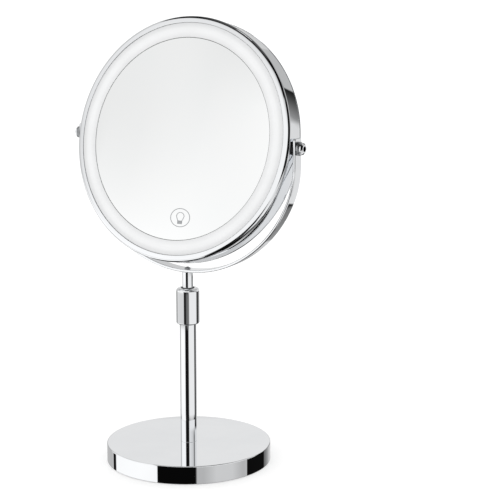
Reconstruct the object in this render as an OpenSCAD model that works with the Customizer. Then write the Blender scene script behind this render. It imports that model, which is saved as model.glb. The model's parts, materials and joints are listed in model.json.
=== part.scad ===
// Lighted vanity mirror: weighted disc base, telescoping stem with a twist collar, flat-strip yoke,
// and a round double-sided mirror head that turns over on two side pivots.
// Origin: centre of the underside of the foot pad. +Z up, the lighted face looks towards -Y.

/* [Base] */
// Diameter of the base
base_d = 140; // [120:1:160]
// Height of the base over the table
base_h = 15.7; // [14:0.1:20]
// Wall of the base cover
cover_t = 1.3; // [1:0.1:1.6]
// Thickness of the foot pad
pad_t = 1.8; // [1.5:0.1:2.2]
// Number of screws under the base
base_screw_count = 3; // [3:1:6]

/* [Stem] */
// Outside diameter of the fixed tube
tube_d = 14; // [13.6:0.1:14.4]
// Wall of the fixed tube
tube_wall = 1; // [0.8:0.1:1.1]
// Diameter of the sliding rod
rod_d = 9; // [8:0.1:9.2]
// Height of the collar's lower edge over the table
collar_z = 119.2; // [110:0.1:130]
// Diameter of the twist collar
collar_d = 19.6; // [19.2:0.1:22]
// Length of the twist collar
collar_h = 31; // [30:0.1:34]
// Bare rod between the collar and the yoke
rod_show = 14; // [13:0.1:20]

/* [Yoke] */
// Width of the yoke strip
yoke_w = 11; // [10:0.1:13]
// Thickness of the yoke strip
yoke_t = 2.4; // [2:0.1:2.4]
// Drop of the yoke's arc centre under the pivots
yoke_drop = 4; // [3:0.1:8]
// Arm end over the pivot
arm_over = 8; // [7:0.1:10]

/* [Head] */
// Diameter of the head
head_d = 203.8; // [203:0.1:204]
// Thickness of the head
head_t = 22; // [21.8:0.1:22.4]
// Backward tilt of the head at rest, degrees
head_tilt = 13; // [0:1:40]
// Diameter of the front mirror glass
glass_d = 168; // [166:0.1:168.2]
// Width of the lighted ring
ring_w = 11.6; // [11.4:0.1:11.8]
// Radius of curvature of the rear mirror
rear_curve = 900; // [880:10:1000]
// Number of light-emitting diodes
led_count = 48; // [24:6:60]

/* [Pivots] */
// Diameter of the pivot screw's bearing
pivot_d = 5; // [4.8:0.1:5.2]
// Diameter of the pivot washers
washer_d = 11.2; // [10:0.1:12]
// Diameter of the pivot screw's cap
cap_d = 9.8; // [9:0.1:11]

/* [Light key] */
// Sideways place of the key on the mirror
key_x = 8.6; // [0:0.1:10]
// Distance of the key under the mirror's centre
key_drop = 64.7; // [55:0.1:65]
// Half width of the key's ring
key_rx = 9.5; // [8:0.1:11]
// Half height of the key's ring
key_ry = 7.8; // [7:0.1:9]
// Line width of the key
key_line = 0.6; // [0.4:0.1:0.8]

/* [Hidden] */
$fn = 96;
rim_fn = 180;
run_gap = 0.05;     // radial clearance of a running fit
part_gap = 0.3;     // gap between pieces that move past each other

// base
base_r = base_d / 2;
cover_in_r = base_r - cover_t;
cover_top = base_h - cover_t;
cover_lift = 0.5;
cover_edge_r = 0.8;
plate_t = 1.3;
weight_z = pad_t + plate_t;
weight_r = cover_in_r - 0.6;
bolt_d = 6;
bolt_head_h = 3.8;
bolt_af = 10;
bolt_head_z = weight_z + 1;
stem_washer_t = 1.1;
weight_pocket_z = bolt_head_z + bolt_head_h + stem_washer_t;
base_screw_d = 4;
base_screw_r = base_r - 20;
base_screw_l = 8;
base_screw_in_r = base_screw_d / 2 - run_gap;
countersink_r = 3.75;

// stem
tube_r = tube_d / 2;
tube_in_r = tube_r - tube_wall;
rod_r = rod_d / 2;
collar_r = collar_d / 2;
collar_top = collar_z + collar_h;
collar_lip = 3;
tube_top = collar_top - 11.2;
ferrule_z = collar_z + 5;
ferrule_r = tube_r + 1.2;
thread_pitch = 1.5;
guide_h = 12;
foot_plug_h = 11.8;
collet_h = 8.2;
gasket_r = rod_r + 1.25;
gasket_t = 2.2;
stop_z = 42.3;
stop_floor_h = 3.4;
stop_bush_h = 7.7;
rod_z = stop_z + stop_floor_h + part_gap;
rod_in_r = rod_r - 1.2;
plug_r = rod_in_r - run_gap;
rod_plug_h = 12;
rod_screw_d = 3;

// yoke
yoke_z = collar_top + rod_show;
head_r = head_d / 2;
arm_gap = 0.9;
arm_x = head_r + arm_gap + yoke_t;
bend_x = 24;                        // bend centre beside and under the arc's centre, on a 5-12-13 triangle
bend_dz = 10;
bend_reach = 26;
bend_far = 6 * [bend_x, -bend_dz];  // a point on the line between arc and bend, outside the strip
yoke_r = arm_x - bend_x + bend_reach;
bend_r = yoke_r - bend_reach;
arc_z = yoke_z + yoke_r;
arm_z = arc_z - bend_dz;
pivot_z = arc_z + yoke_drop;
arm_corner_r = 1.5;
yoke_screw_d = 4;
yoke_head_r = 2.6;
yoke_head_h = 1.7;

// pivots, radii and distances from the centre of the head
pivot_r = pivot_d / 2;
bush_r = pivot_r + 1.1;
spacer_t = 0.65;
washer_x = arm_x + 0.2;
washer_t = 2;
washer_r = washer_d / 2;
washer_edge = 0.3;
cap_x = washer_x + washer_t + run_gap;
cap_neck_t = 0.85;
cap_t = 1.3;
cap_crown_t = 1.2;
cap_r = cap_d / 2;
cap_face_r = cap_r - 1.6;
screw_r = 2;
insert_r = 2.95;
insert_l = 4.9;
boss_r = 5.2;
boss_l = 3.7;

// head, heights over the head's middle plane
half_t = head_t / 2;
wall_r = head_r - 0.3;
wall_in_r = wall_r - 1.6;
wall_half = half_t - 3;
bezel_gap = 0.1;
bezel_edge_r = 0.9;
bezel_skirt_r = wall_in_r - 0.1;
bezel_skirt_in_r = bezel_skirt_r - 1.4;
bezel_skirt_z = wall_half - 2.4;
bezel_face_t = 2.6;
glass_r = glass_d / 2;
glass_t = 3;
glass_z = half_t - 0.8;
glass_back = glass_z - glass_t;
bezel_in_r = glass_r + ring_w + 0.8;
seat_r = bezel_skirt_in_r - 0.2;
ring_in_r = glass_r + 0.4;
ring_out_r = bezel_in_r - 0.3;
ring_edge_z = half_t - 1;
ring_crown = 0.9;
ring_flange_z = half_t - bezel_face_t - 0.1;
dome_half = (ring_out_r - ring_in_r) / 2;
dome_r = (dome_half * dome_half + ring_crown * ring_crown) / (2 * ring_crown);
tape_t = 0.3;
carrier_z = glass_back - tape_t;
carrier_t = 2;
trough_r = glass_r - 0.7;
tape_out_r = trough_r - 2;
trough_out_r = ring_out_r - 0.1;
trough_z = 2.6;
trough_t = 1;
led_board_t = 1;
led_board_r0 = trough_r + 1.5;
led_board_r1 = trough_out_r - 1.4;
led_r = (led_board_r0 + led_board_r1) / 2;
led_z = trough_z + trough_t + led_board_t;

// rear mirror
rear_r = seat_r;
rear_t = 2.2;
rear_edge_z = -(half_t - bezel_face_t - 0.1);
rear_centre_z = rear_edge_z - sqrt(rear_curve * rear_curve - rear_r * rear_r);
frame_r0 = trough_r + 2.7;
frame_r1 = trough_out_r - 0.2;
frame_z = -4.6;
frame_t = 2.6;
frame_post_r = 3;
frame_post_count = 6;
frame_post_place = (frame_r0 + frame_r1) / 2;
frame_screw_d = 2.5;

// electronics, in the plane of the head
board_size = [46, 28];
board_y = -20;
board_z = 1.7;
board_t = 1.2;
board_post = [19, 10];
battery_size = [62, 42];
battery_y = 32;
battery_t = 5;
battery_z = carrier_z - carrier_t - battery_t - 0.2;
sensor_r = 7;
sensor_t = 1;
port_a = 225;
port_w = 8.9;
port_t = 3.2;
port_l = 7.2;
port_wall = 0.35;
port_in = 10.5;
port_clear = 16;
lead_r = 0.6;
lead_pitch = 1.6;

// routes of the leads in the head, first conductor
battery_route = [[-4, 10.9, 1.4], [-4, 7, 0.9], [-4, 1, 0.6], [-4, -4, 0.8], [-4, -8, 1.04]];
led_lead_x = -12;
led_lead_y = -87;
led_route = [[led_lead_x, -32, 1.04], [led_lead_x, -40, 0.8], [led_lead_x, -58, 1], [led_lead_x, -76, 1.2],
             [led_lead_x, -84, 1.2], [led_lead_x, led_lead_y + 0.6, 2], [led_lead_x, led_lead_y, 3.55]];
sensor_route = [[10, -32, 1.04], [10, -38, 0.9], [10, -47, 1.6], [10, -56, 3.2], [10, -60, 4.4],
                [10, -62, 5.6]];
charge_route = [[91.5, -0.8, -0.9], [84, -1.4, -0.5], [72, -3, 0.3], [56, -1, 0.6], [40, 1, 0.8],
                [29, 2.5, 1.02]];

// ---------- helpers ----------

// Ring or disc from inner radius r0 to outer radius r1, standing on z
module ring(r0, r1, z, h) {
    translate([0, 0, z])
        difference() {
            cylinder(r = r1, h = h);
            if (r0 > 0)
                translate([0, 0, -1]) cylinder(r = r0, h = h + 2);
        }
}

// Corner points of a rectangle with round corners
function round_rect(x, y, r) = [
    for (corner = [0:3])
        for (step = [0:6])
            let (a = 90 * corner + 15 * step,
                 sx = (corner == 0 || corner == 3) ? 1 : -1,
                 sy = (corner < 2) ? 1 : -1)
                [sx * (x / 2 - r) + r * cos(a), sy * (y / 2 - r) + r * sin(a)]
];

// Flat plate with round corners, centred, standing on z
module plate(size, r, z, h) {
    translate([0, 0, z])
        linear_extrude(h) polygon(round_rect(size[0], size[1], r));
}

// Places its children in the head's frame: x sideways, y up the face, z out of the lighted face
module in_head() {
    translate([0, 0, pivot_z]) rotate([90 - head_tilt, 0, 0]) children();
}

// Solid of revolution around the pivot axis, once for each side; its z runs outwards
module on_pivots() {
    for (side = [1, -1])
        rotate([0, side * 90, 0]) children();
}

// Copies its children n times round the head's axis
module around(n, start = 0) {
    for (i = [0:n - 1])
        rotate([0, 0, start + 360 * i / n]) children();
}

// Smooth points through a list of hand-chosen points
function spline_point(a, b, c, d, t) =
    0.5 * (2 * b + (c - a) * t + (2 * a - 5 * b + 4 * c - d) * t * t + (3 * b - a - 3 * c + d) * t * t * t);
function clamp_index(p, i) = p[min(max(i, 0), len(p) - 1)];
function smooth(p, steps) = concat(
    [for (i = [0:len(p) - 2])
        for (s = [0:steps - 1])
            spline_point(clamp_index(p, i - 1), p[i], p[i + 1], clamp_index(p, i + 2), s / steps)],
    [p[len(p) - 1]]);
function unit(v) = v / norm(v);

// Round lead of radius r along a smooth line that keeps to planes across the direction n
module lead(points, r, n, sides = 8) {
    p = smooth(points, 4);
    last = len(p) - 1;
    vertices = [for (i = [0:last])
        let (t = unit(p[min(i + 1, last)] - p[max(i - 1, 0)]),
             u = unit(cross(n, t)),
             v = cross(t, u))
            for (k = [0:sides - 1])
                p[i] + r * (cos(360 * k / sides) * u + sin(360 * k / sides) * v)];
    walls = [for (i = [0:last - 1]) for (k = [0:sides - 1])
        let (a = i * sides + k, b = i * sides + (k + 1) % sides)
            [a, b, b + sides, a + sides]];
    start_cap = [for (k = [0:sides - 1]) k];
    end_cap = [for (k = [0:sides - 1]) last * sides + sides - 1 - k];
    polyhedron(points = vertices, faces = concat(
        [for (w = walls) [w[0], w[2], w[1]]], [for (w = walls) [w[0], w[3], w[2]]],
        [start_cap, end_cap]));
}

// Two conductors side by side along n
module lead_pair(points, n) {
    for (i = [0, 1])
        translate(i * lead_pitch * n) lead(points, lead_r, n);
}

// ---------- base ----------

module base_cover() {
    color("gainsboro")
        difference() {
            rotate_extrude($fn = rim_fn)
                difference() {
                    union() {
                        translate([0, cover_lift]) square([base_r, base_h - cover_edge_r - cover_lift]);
                        translate([0, base_h - cover_edge_r - 0.1])
                            square([base_r - cover_edge_r, cover_edge_r + 0.1]);
                        translate([base_r - cover_edge_r, base_h - cover_edge_r])
                            circle(r = cover_edge_r, $fn = 32);
                    }
                    translate([-1, -1]) square([cover_in_r + 1, cover_top + 1]);
                }
            cylinder(d = bolt_d + 0.4, h = base_h + 1);
        }
}

module base_weight() {
    color("dimgray")
        difference() {
            translate([0, 0, weight_z]) cylinder(r = weight_r, h = cover_top - weight_z, $fn = rim_fn);
            cylinder(d = bolt_d + 0.4, h = base_h);
            cylinder(r = 7.5, h = weight_pocket_z);
            around(base_screw_count, 90)
                translate([base_screw_r, 0, 0])
                    cylinder(d = base_screw_d + 0.1, h = pad_t + base_screw_l + 1);
        }
}

module base_plate() {
    color("silver")
        difference() {
            ring(8, cover_in_r - 0.4, pad_t, plate_t, $fn = rim_fn);
            around(base_screw_count, 90)
                translate([base_screw_r, 0, pad_t]) {
                    translate([0, 0, -1]) cylinder(r = base_screw_d / 2 + 0.15, h = plate_t + 2);
                    cylinder(r1 = countersink_r, r2 = base_screw_d / 2 + 0.15, h = plate_t);
                }
        }
}

module foot_pad() {
    color("black") cylinder(r = cover_in_r - 0.5, h = pad_t, $fn = rim_fn);
}

module base_screws() {
    color("lightgray")
        around(base_screw_count, 90)
            translate([base_screw_r, 0, pad_t])
                rotate_extrude($fn = 32)
                    polygon([[0, 0.45], [1.2, 0.45], [1.2, 0.05], [countersink_r - 0.2, 0.05],
                             [base_screw_in_r, plate_t], [base_screw_in_r, base_screw_l - 0.8],
                             [1.2, base_screw_l], [0, base_screw_l]]);
}

module stem_bolt() {
    color("silver") {
        translate([0, 0, bolt_head_z])
            cylinder(d = bolt_af / cos(30), h = bolt_head_h, $fn = 6);
        translate([0, 0, bolt_head_z + bolt_head_h - 0.5])
            cylinder(d = bolt_d, h = base_h + foot_plug_h - 2 - bolt_head_z - bolt_head_h);
    }
}

module stem_washer() {
    color("lightgray") ring(bolt_d / 2 + 0.2, 6.6, bolt_head_z + bolt_head_h, stem_washer_t);
}

// ---------- stem ----------

module outer_tube() {
    color("gainsboro") ring(tube_in_r, tube_r, base_h, tube_top - base_h);
}

module foot_plug() {
    color("silver") ring(bolt_d / 2 + run_gap, tube_in_r - run_gap, base_h, foot_plug_h);
}

module thread_ferrule() {
    color("silver")
        rotate_extrude()
            difference() {
                translate([tube_r + 0.02, ferrule_z])
                    square([ferrule_r - tube_r - 0.02, tube_top - ferrule_z - 0.5]);
                for (z = [ferrule_z + thread_pitch:thread_pitch:tube_top - thread_pitch])
                    translate([ferrule_r - 0.4, z]) square([1, 0.6]);
            }
}

module guide_bush() {
    color("ivory") {
        difference() {
            union() {
                translate([0, 0, tube_top - guide_h]) cylinder(r = tube_in_r - run_gap, h = guide_h + 0.5);
                translate([0, 0, tube_top]) cylinder(r = tube_r, h = 1);
            }
            cylinder(r = rod_r + run_gap, h = tube_top + 5);
        }
    }
}

module collet() {
    color("dimgray")
        translate([0, 0, tube_top + 1])
            difference() {
                rotate_extrude()
                    polygon([[rod_r + run_gap, 0], [rod_r + 2.9, 0], [rod_r + 2.9, 2],
                             [rod_r + 1.7, collet_h - 1.2], [rod_r + run_gap, collet_h - 1.2]]);
                around(4, 45) translate([0, -0.5, 2]) cube([12, 1, collet_h]);
            }
}

module collar() {
    color("gainsboro")
        rotate_extrude()
            difference() {
                union() {
                    translate([0, collar_z + 1.5]) square([collar_r, collar_h - 4]);
                    translate([0, collar_z]) square([collar_r - 1.5, collar_h]);
                    translate([collar_r - 1.5, collar_z + 1.5]) circle(r = 1.5, $fn = 32);
                    translate([collar_r - 2.5, collar_top - 2.5]) circle(r = 2.5, $fn = 48);
                    square([collar_r - 2.5, collar_top]);
                }
                square([collar_r * 2, collar_z]);
                square([tube_r + 0.08, collar_top]);
                translate([0, collar_z + collar_lip])
                    square([ferrule_r + 0.08, tube_top + 2 - collar_z - collar_lip]);
                polygon([[0, tube_top + 1.9], [ferrule_r + 0.08, tube_top + 1.9],
                         [ferrule_r + 0.08, tube_top + 3], [rod_r + 2, collar_top - gasket_t - 0.4],
                         [0, collar_top - gasket_t - 0.4]]);
                translate([0, collar_top - gasket_t]) square([gasket_r + 0.02, gasket_t + 1]);
                square([rod_r + 0.5, collar_top + 1]);
            }
}

module collar_gasket() {
    color("dimgray")
        rotate_extrude()
            translate([rod_r + 0.1, collar_top - gasket_t])
                polygon([[0, 0], [gasket_r - rod_r - 0.1, 0], [gasket_r - rod_r - 0.1, gasket_t],
                         [gasket_r - rod_r - 0.5, gasket_t + 0.4], [0, gasket_t + 0.4]]);
}

module stop_bush() {
    color("ivory")
        difference() {
            translate([0, 0, stop_z]) cylinder(r = tube_in_r - 0.08, h = stop_bush_h);
            cylinder(r = rod_screw_d / 2 + 0.1, h = stop_z + stop_bush_h);
            translate([0, 0, stop_z + stop_floor_h]) cylinder(r = rod_r + run_gap, h = stop_bush_h);
        }
}

module inner_rod() {
    color("gainsboro") ring(rod_in_r, rod_r, rod_z, yoke_z - 0.06 - rod_z);
}

module rod_top_plug() {
    color("silver")
        difference() {
            translate([0, 0, yoke_z - 16]) cylinder(r = plug_r, h = 15.9);
            translate([0, 0, yoke_z - 13]) cylinder(d = yoke_screw_d + 0.1, h = 14);
        }
}

module rod_end_plug() {
    color("silver")
        difference() {
            translate([0, 0, rod_z]) cylinder(r = plug_r, h = rod_plug_h);
            translate([0, 0, rod_z - 1]) cylinder(d = rod_screw_d + 0.1, h = rod_plug_h - 1);
        }
}

module rod_end_screw() {
    color("lightgray")
        translate([0, 0, stop_z - part_gap])
            rotate_extrude($fn = 48)
                polygon([[0, -1], [0.8, -1], [0.8, -1.5], [2.2, -1.5], [2.8, -0.9], [2.8, 0],
                         [rod_screw_d / 2, 0], [rod_screw_d / 2, 12.6], [1, 13.2], [0, 13.2]]);
}

// ---------- yoke ----------

// Strip of outside radius r bent round a centre, kept inside an outline that starts at the arc's centre
module strip_arc(x, z, r, outline) {
    intersection() {
        translate([x, 0, z]) rotate([90, 0, 0]) ring(r - yoke_t, r, -yoke_w / 2, yoke_w, $fn = 240);
        translate([0, yoke_w, arc_z]) rotate([90, 0, 0]) linear_extrude(2 * yoke_w) polygon(outline);
    }
}

// Bend and straight arm on the +X side
module arm() {
    strip_arc(bend_x, arm_z, bend_r, [[bend_x, -bend_dz], bend_far, [bend_far[0], -bend_dz]]);
    translate([arm_x - yoke_t, 0, 0]) rotate([90, 0, 90]) linear_extrude(yoke_t) arm_outline();
}

// Straight upper stretch of one arm, seen along X
module arm_outline() {
    c = arm_corner_r;
    polygon(concat(
        [[-yoke_w / 2, arm_z], [yoke_w / 2, arm_z]],
        [for (a = [0:15:90]) [yoke_w / 2 - c + c * cos(a), pivot_z + arm_over - c + c * sin(a)]],
        [for (a = [90:15:180]) [-yoke_w / 2 + c + c * cos(a), pivot_z + arm_over - c + c * sin(a)]]));
}

module yoke() {
    color("gainsboro")
        difference() {
            union() {
                strip_arc(0, arc_z, yoke_r,
                          [[0, 0], bend_far, bend_far[0] * [1, -1], bend_far[0] * [-1, -1],
                           [-bend_far[0], bend_far[1]]]);
                arm();
                mirror([1, 0, 0]) arm();
            }
            translate([0, 0, pivot_z]) on_pivots()
                translate([0, 0, arm_x - yoke_t - 1]) cylinder(r = bush_r + run_gap, h = yoke_t + 2);
            translate([0, 0, yoke_z - 1]) cylinder(d = yoke_screw_d + 0.3, h = yoke_t + 2);
        }
}

module yoke_screw() {
    color("silver")
        translate([0, 0, yoke_z + yoke_t + 0.04])
            difference() {
                rotate_extrude($fn = 48)
                    polygon(concat([[0, yoke_head_h]],
                        [for (a = [75:-15:0]) [yoke_head_r * cos(a), yoke_head_h * sin(a)]],
                        [[yoke_screw_d / 2, 0], [yoke_screw_d / 2, -12.4], [1.4, -13], [0, -13]]));
                translate([0, 0, yoke_head_h - 1]) cylinder(d = 2.3, h = 2, $fn = 6);
            }
}

module arm_bushes() {
    color("ivory")
        translate([0, 0, pivot_z])
            on_pivots() ring(pivot_r + run_gap, bush_r, arm_x - yoke_t + 0.05, yoke_t - 0.1);
}

// ---------- head: case ----------

module drum_wall() {
    color("gainsboro")
        in_head()
            difference() {
                union() {
                    ring(wall_in_r, wall_r, -wall_half, 2 * wall_half, $fn = rim_fn);
                    intersection() {
                        on_pivots()
                            translate([0, 0, wall_in_r - boss_l + 0.1])
                                cylinder(r = boss_r, h = boss_l + 0.8);
                        translate([0, 0, -wall_half])
                            cylinder(r = wall_r - 0.4, h = 2 * wall_half, $fn = rim_fn);
                    }
                }
                on_pivots()
                    translate([0, 0, wall_in_r - boss_l - 1])
                        cylinder(r = insert_r + 0.02, h = boss_l + 5);
                rotate([0, 0, port_a])
                    translate([wall_in_r - 3, 0, 0]) port_slot(port_w + 0.5, port_t + 0.5, 8);
            }
}

// Slot with half-round ends along +X
module port_slot(w, t, l) {
    rotate([90, 0, 90])
        linear_extrude(l) polygon(round_rect(w, t, t / 2 - 0.01));
}

// Chromed rim: face, wrapped edge and inside skirt
module bezel() {
    rotate_extrude($fn = rim_fn)
        union() {
            translate([bezel_in_r, half_t - bezel_face_t])
                square([head_r - bezel_edge_r - bezel_in_r, bezel_face_t]);
            translate([bezel_skirt_in_r + 0.2, wall_half + bezel_gap])
                square([head_r - bezel_skirt_in_r - 0.2, half_t - wall_half - bezel_gap - bezel_edge_r]);
            translate([head_r - bezel_edge_r, half_t - bezel_edge_r]) circle(r = bezel_edge_r, $fn = 32);
            translate([bezel_skirt_in_r, bezel_skirt_z])
                square([bezel_skirt_r - bezel_skirt_in_r, half_t - 0.5 - bezel_skirt_z]);
        }
}

module front_bezel() {
    color("whitesmoke") in_head() bezel();
}

module rear_bezel() {
    color("whitesmoke") in_head() mirror([0, 0, 1]) bezel();
}

module front_mirror() {
    color("lightcyan")
        in_head()
            rotate_extrude($fn = rim_fn)
                polygon([[0, glass_back], [glass_r, glass_back], [glass_r, glass_z - 0.4],
                         [glass_r - 0.4, glass_z], [0, glass_z]]);
}

module mirror_tape() {
    color("black") in_head() ring(tape_out_r - 8, tape_out_r, carrier_z, tape_t);
}

module diffuser_ring() {
    color("white")
        in_head()
            rotate_extrude($fn = rim_fn) {
                translate([ring_in_r, glass_back + 0.1])
                    square([ring_out_r - ring_in_r, ring_edge_z - glass_back - 0.1]);
                translate([ring_out_r - 0.5, glass_back + 0.1])
                    square([seat_r - ring_out_r + 0.5, ring_flange_z - glass_back - 0.1]);
                intersection() {
                    translate([ring_in_r, ring_edge_z - 0.5])
                        square([ring_out_r - ring_in_r, ring_crown + 1]);
                    translate([(ring_in_r + ring_out_r) / 2, ring_edge_z + ring_crown - dome_r])
                        circle(r = dome_r, $fn = 360);
                }
            }
}

// ---------- head: light key ----------

function ellipse(rx, ry) = [for (i = [0:47]) [rx * cos(7.5 * i), ry * sin(7.5 * i)]];

// Light bulb: round top, sides that run in to the neck
function bulb(r, neck, low) = concat(
    [[neck, low]], [for (a = [-20:20:200]) [r * cos(a), 1.3 + r * 0.85 * sin(a)]], [[-neck, low]]);

module touch_icon() {
    color("gray")
        in_head()
            translate([key_x, -key_drop, glass_z])
                linear_extrude(0.1) {
                    difference() {
                        polygon(ellipse(key_rx, key_ry));
                        polygon(ellipse(key_rx - key_line, key_ry - key_line));
                    }
                    difference() {
                        polygon(bulb(3.9, 2.3, -2.4));
                        polygon(bulb(3.9 - key_line, 2.3 - key_line, -2.4 + 0.01));
                    }
                    translate([-2.3, -5.2]) square([4.6, 2.8]);
                }
}

module touch_sensor() {
    color("darkgreen")
        in_head() translate([key_x, -key_drop, 0]) ring(0, sensor_r, glass_back - sensor_t, sensor_t);
}

// ---------- head: chassis and light ----------

// Copies its children over the four fixing places of the control board
module at_board_corners(z) {
    for (x = [-1, 1], y = [-1, 1])
        translate([x * board_post[0], board_y + y * board_post[1], z]) children();
}

module carrier() {
    color("white")
        in_head()
            difference() {
                union() {
                    rotate_extrude($fn = rim_fn) {
                        translate([0, carrier_z - carrier_t]) square([trough_r + 1, carrier_t]);
                        translate([trough_r, trough_z]) square([1, carrier_z - trough_z]);
                        translate([trough_r, trough_z]) square([trough_out_r - trough_r, trough_t]);
                        translate([trough_out_r - 1, trough_z]) square([1, carrier_z + 0.1 - trough_z]);
                        translate([trough_out_r - 1, carrier_z - 1])
                            square([seat_r + 1 - trough_out_r, 1.2]);
                    }
                    at_board_corners(board_z + board_t)
                        cylinder(r = 2.2, h = carrier_z - board_z - board_t - 0.5);
                }
                at_board_corners(0) cylinder(r = 0.8, h = carrier_z - 1);
                translate([key_x, -key_drop, 0]) cylinder(r = sensor_r + 0.5, h = half_t);
                around(frame_post_count, 30)
                    translate([frame_post_place, 0, 0])
                        cylinder(d = frame_screw_d - 0.4, h = trough_z + trough_t - 0.2);
                translate([led_lead_x - lead_pitch, led_lead_y - 1.5, 0])
                    cube([3 * lead_pitch, 3, trough_z + trough_t + 0.5]);
            }
}

module led_board() {
    color("whitesmoke")
        in_head() ring(led_board_r0, led_board_r1, trough_z + trough_t, led_board_t, $fn = rim_fn);
}

module leds() {
    color("khaki")
        in_head() around(led_count) translate([led_r - 1.4, -1.75, led_z]) cube([2.8, 3.5, 0.7]);
}

// ---------- head: electronics ----------

module control_board() {
    color("darkgreen")
        in_head()
            difference() {
                translate([0, board_y, 0]) plate(board_size, 2, board_z, board_t);
                at_board_corners(0) cylinder(r = 1.1, h = board_z + board_t + 1, $fn = 32);
            }
}

module board_parts() {
    color("dimgray")
        in_head()
            translate([0, board_y, board_z]) {
                for (part = [[-8, 2, 7, 7, 1.2], [6, 4, 5, 4, 1], [6, -5, 4, 4, 1.6], [-8, -7, 3, 2, 0.9],
                             [14, 0, 2, 4, 0.8], [-1, -2, 2, 1.4, 0.7], [-1, 3, 2, 1.4, 0.7]])
                    translate([part[0] - part[2] / 2, part[1] - part[3] / 2, -part[4]])
                        cube([part[2], part[3], part[4]]);
            }
}

module board_screws() {
    color("silver")
        in_head()
            at_board_corners(board_z)
                rotate_extrude($fn = 24)
                    polygon([[0, -1.1], [1.4, -1.1], [1.8, -0.7], [1.8, 0],
                             [0.75, 0], [0.75, 3.6], [0, 3.6]]);
}

module battery_cell() {
    color("silver") in_head() translate([0, battery_y, 0]) plate(battery_size, 2.4, battery_z, battery_t);
}

module battery_tape() {
    color("white")
        in_head() translate([0, battery_y, 0]) plate([50, 30], 1, battery_z + battery_t, 0.2);
}

module charge_board() {
    color("darkgreen")
        in_head()
            rotate([0, 0, port_a])
                translate([wall_in_r - port_in, 1 - port_clear / 2, -port_t / 2 - 1])
                    cube([port_in - 0.6, port_clear - 2, 1]);
}

module charge_socket() {
    color("silver")
        in_head()
            rotate([0, 0, port_a])
                translate([wall_r - 0.5 - port_l, 0, 0])
                    difference() {
                        port_slot(port_w, port_t, port_l);
                        translate([1, 0, 0])
                            port_slot(port_w - 2 * port_wall, port_t - 2 * port_wall, port_l);
                    }
}

module battery_lead() {
    color("firebrick") in_head() lead_pair(battery_route, [1, 0, 0]);
}

module led_lead() {
    color("gold") in_head() lead_pair(led_route, [1, 0, 0]);
}

module sensor_lead() {
    color("gray") in_head() lead_pair(sensor_route, [1, 0, 0]);
}

module charge_lead() {
    color("black") in_head() rotate([0, 0, port_a]) lead_pair(charge_route, [0, 1, 0]);
}

// ---------- head: rear mirror ----------

module rear_frame() {
    color("dimgray")
        in_head()
            difference() {
                union() {
                    ring(frame_r0, frame_r1, frame_z, frame_t, $fn = rim_fn);
                    around(frame_post_count, 30)
                        translate([frame_post_place, 0, frame_z + 0.5])
                            cylinder(r = frame_post_r, h = trough_z - frame_z - 0.5);
                }
                around(frame_post_count, 30)
                    translate([frame_post_place, 0, frame_z - 1]) {
                        cylinder(d = frame_screw_d + 0.3, h = 10);
                        cylinder(d = 5.1, h = 3);
                    }
                rotate([0, 0, port_a])
                    translate([frame_r0 - 6, -port_clear / 2, -port_t]) cube([30, port_clear, 8]);
            }
}

module frame_screws() {
    color("silver")
        in_head()
            around(frame_post_count, 30)
                translate([frame_post_place, 0, frame_z])
                    rotate_extrude($fn = 32)
                        polygon([[0, 0.6], [0.7, 0.6], [0.7, 0.2], [2.4, 0.2], [2.4, 1.98],
                                 [frame_screw_d / 2, 1.98], [frame_screw_d / 2, 7.1], [1.05, 7.2],
                                 [1.05, 7.8], [0, 7.8]]);
}

// Height of the rear mirror's hollow face at a radius
function rear_z(r) = rear_centre_z + sqrt(rear_curve * rear_curve - r * r);

module rear_gasket() {
    color("black")
        in_head()
            rotate_extrude($fn = rim_fn)
                polygon([[frame_r0 + 0.5, frame_z - 0.02], [frame_r1 - 0.5, frame_z - 0.02],
                         [frame_r1 - 0.5, rear_z(frame_r1 - 0.5) + rear_t + 0.03],
                         [frame_r0 + 0.5, rear_z(frame_r0 + 0.5) + rear_t + 0.03]]);
}

module rear_mirror() {
    color("lightcyan")
        in_head()
            rotate_extrude($fn = rim_fn)
                intersection() {
                    difference() {
                        translate([0, rear_centre_z + rear_t]) circle(r = rear_curve, $fn = 2880);
                        translate([0, rear_centre_z]) circle(r = rear_curve, $fn = 2880);
                    }
                    translate([0, -head_t]) square([rear_r - 0.1, 2 * head_t]);
                }
}

// ---------- head: pivots ----------

module pivot_inserts() {
    color("goldenrod")
        in_head() on_pivots() ring(screw_r + run_gap, insert_r, wall_in_r - boss_l + 0.2, insert_l);
}

module pivot_spacers() {
    color("black") in_head() on_pivots() ring(pivot_r + run_gap, washer_r, head_r + 0.05, spacer_t);
}

module pivot_washers() {
    color("gainsboro")
        in_head() on_pivots()
            rotate_extrude()
                polygon([[pivot_r + run_gap, washer_x], [washer_r - washer_edge, washer_x],
                         [washer_r, washer_x + washer_edge], [washer_r, washer_x + washer_t - washer_edge],
                         [washer_r - washer_edge, washer_x + washer_t],
                         [pivot_r + run_gap, washer_x + washer_t]]);
}

module pivot_screws() {
    color("gainsboro")
        in_head() on_pivots()
            difference() {
                rotate_extrude() {
                    square_between(0, screw_r, wall_in_r - boss_l + 0.3, wall_r + 0.6);
                    square_between(0, pivot_r, wall_r + 0.1, cap_x + 0.5);
                    square_between(0, cap_r - 0.8, cap_x, cap_x + cap_neck_t + 0.2);
                    polygon([[0, cap_x + cap_neck_t], [cap_r, cap_x + cap_neck_t],
                             [cap_r, cap_x + cap_neck_t + cap_t],
                             [cap_face_r, cap_x + cap_neck_t + cap_t + cap_crown_t],
                             [0, cap_x + cap_neck_t + cap_t + cap_crown_t]]);
                }
                translate([0, 0, cap_x + cap_neck_t + cap_t]) cylinder(r = 2.2, h = 5, $fn = 6);
            }
}

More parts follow.
